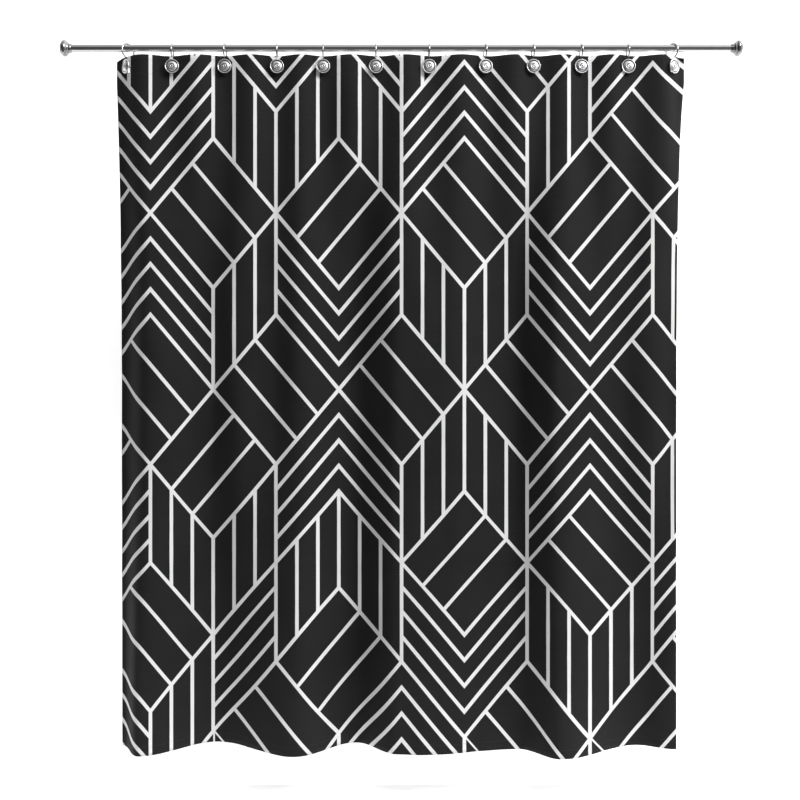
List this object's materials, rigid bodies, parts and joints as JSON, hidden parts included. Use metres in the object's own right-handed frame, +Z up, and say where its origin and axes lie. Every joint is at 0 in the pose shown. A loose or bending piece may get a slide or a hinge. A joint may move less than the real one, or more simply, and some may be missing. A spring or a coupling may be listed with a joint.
{
  "type": "shower curtain",
  "caption": "Shower curtain with a line-drawn rhombus print, hung in soft folds by medallion hooks on a straight rod held between facing walls.",
  "frame": {"origin": "centre of the left wall pad's outer face, on the rod's axis", "axes": "+X along the rod, from the left wall to the right wall; +Z up; -Y towards the room that the printed side faces"},
  "size_m": [1.826, 0.1534, 1.909],
  "materials": {
    "chrome": "polished chrome plate",
    "hook_wire": "polished nickel wire",
    "medallion": "cast metal with a bright antique silver plate",
    "steel": "zinc plated thread",
    "nylon": "natural nylon",
    "rubber": "moulded black rubber",
    "printed_cloth": "plain woven polyester, black with white printed lines",
    "tape": "black woven stiffening tape"
  },
  "bodies": {
    "rod": {"rod_tube": "chrome", "jack_nut": "nylon", "left_wall_pad": "rubber", "left_flange": "chrome", "left_collar": "chrome"},
    "right_end": {"right_wall_pad": "rubber", "right_flange": "chrome", "right_collar": "chrome", "jack_spindle": "steel"},
    "curtain": {"curtain_cloth": "printed_cloth", "header_tape": "tape", "hook_wire_01": "hook_wire", "hook_medallion_01": "medallion"},
    "hook_02": {"hook_wire_02": "hook_wire", "hook_medallion_02": "medallion"},
    "hook_03": {"hook_wire_03": "hook_wire", "hook_medallion_03": "medallion"},
    "hook_04": {"hook_wire_04": "hook_wire", "hook_medallion_04": "medallion"},
    "hook_05": {"hook_wire_05": "hook_wire", "hook_medallion_05": "medallion"},
    "hook_06": {"hook_wire_06": "hook_wire", "hook_medallion_06": "medallion"},
    "hook_07": {"hook_wire_07": "hook_wire", "hook_medallion_07": "medallion"},
    "hook_08": {"hook_wire_08": "hook_wire", "hook_medallion_08": "medallion"},
    "hook_09": {"hook_wire_09": "hook_wire", "hook_medallion_09": "medallion"},
    "hook_10": {"hook_wire_10": "hook_wire", "hook_medallion_10": "medallion"},
    "hook_11": {"hook_wire_11": "hook_wire", "hook_medallion_11": "medallion"},
    "hook_12": {"hook_wire_12": "hook_wire", "hook_medallion_12": "medallion"}
  },
  "joints": [
    {"name": "rod_jack", "type": "slide", "parent": "rod", "child": "right_end", "axis": [1, 0, 0], "range_m": [-0.003, 0.01]},
    {"name": "curtain_swing", "type": "hinge", "parent": "rod", "child": "curtain", "pos_m": [0, 0, 0], "axis": [1, 0, 0], "range_deg": [-15, 15]},
    {"name": "curtain_draw", "type": "slide", "parent": "curtain", "child": "hook_12", "axis": [1, 0, 0], "range_m": [-0.92, 0], "deforming": ["curtain_cloth", "header_tape"]},
    {"name": "hook_02_draw", "type": "slide", "parent": "curtain", "child": "hook_02", "axis": [1, 0, 0], "range_m": [-0.0759, 0]},
    {"name": "hook_03_draw", "type": "slide", "parent": "curtain", "child": "hook_03", "axis": [1, 0, 0], "range_m": [-0.1651, 0]},
    {"name": "hook_04_draw", "type": "slide", "parent": "curtain", "child": "hook_04", "axis": [1, 0, 0], "range_m": [-0.253, 0]},
    {"name": "hook_05_draw", "type": "slide", "parent": "curtain", "child": "hook_05", "axis": [1, 0, 0], "range_m": [-0.3308, 0]},
    {"name": "hook_06_draw", "type": "slide", "parent": "curtain", "child": "hook_06", "axis": [1, 0, 0], "range_m": [-0.4204, 0]},
    {"name": "hook_07_draw", "type": "slide", "parent": "curtain", "child": "hook_07", "axis": [1, 0, 0], "range_m": [-0.51, 0]},
    {"name": "hook_08_draw", "type": "slide", "parent": "curtain", "child": "hook_08", "axis": [1, 0, 0], "range_m": [-0.6048, 0]},
    {"name": "hook_09_draw", "type": "slide", "parent": "curtain", "child": "hook_09", "axis": [1, 0, 0], "range_m": [-0.686, 0]},
    {"name": "hook_10_draw", "type": "slide", "parent": "curtain", "child": "hook_10", "axis": [1, 0, 0], "range_m": [-0.7672, 0]},
    {"name": "hook_11_draw", "type": "slide", "parent": "curtain", "child": "hook_11", "axis": [1, 0, 0], "range_m": [-0.8466, 0]}
  ],
  "couplings": [
    {"joint": "hook_02_draw", "follows": "curtain_draw", "ratio": 0.0814},
    {"joint": "hook_03_draw", "follows": "curtain_draw", "ratio": 0.17833},
    {"joint": "hook_04_draw", "follows": "curtain_draw", "ratio": 0.27392},
    {"joint": "hook_05_draw", "follows": "curtain_draw", "ratio": 0.35851},
    {"joint": "hook_06_draw", "follows": "curtain_draw", "ratio": 0.45586},
    {"joint": "hook_07_draw", "follows": "curtain_draw", "ratio": 0.5533},
    {"joint": "hook_08_draw", "follows": "curtain_draw", "ratio": 0.65631},
    {"joint": "hook_09_draw", "follows": "curtain_draw", "ratio": 0.7446},
    {"joint": "hook_10_draw", "follows": "curtain_draw", "ratio": 0.83278},
    {"joint": "hook_11_draw", "follows": "curtain_draw", "ratio": 0.91912}
  ]
}
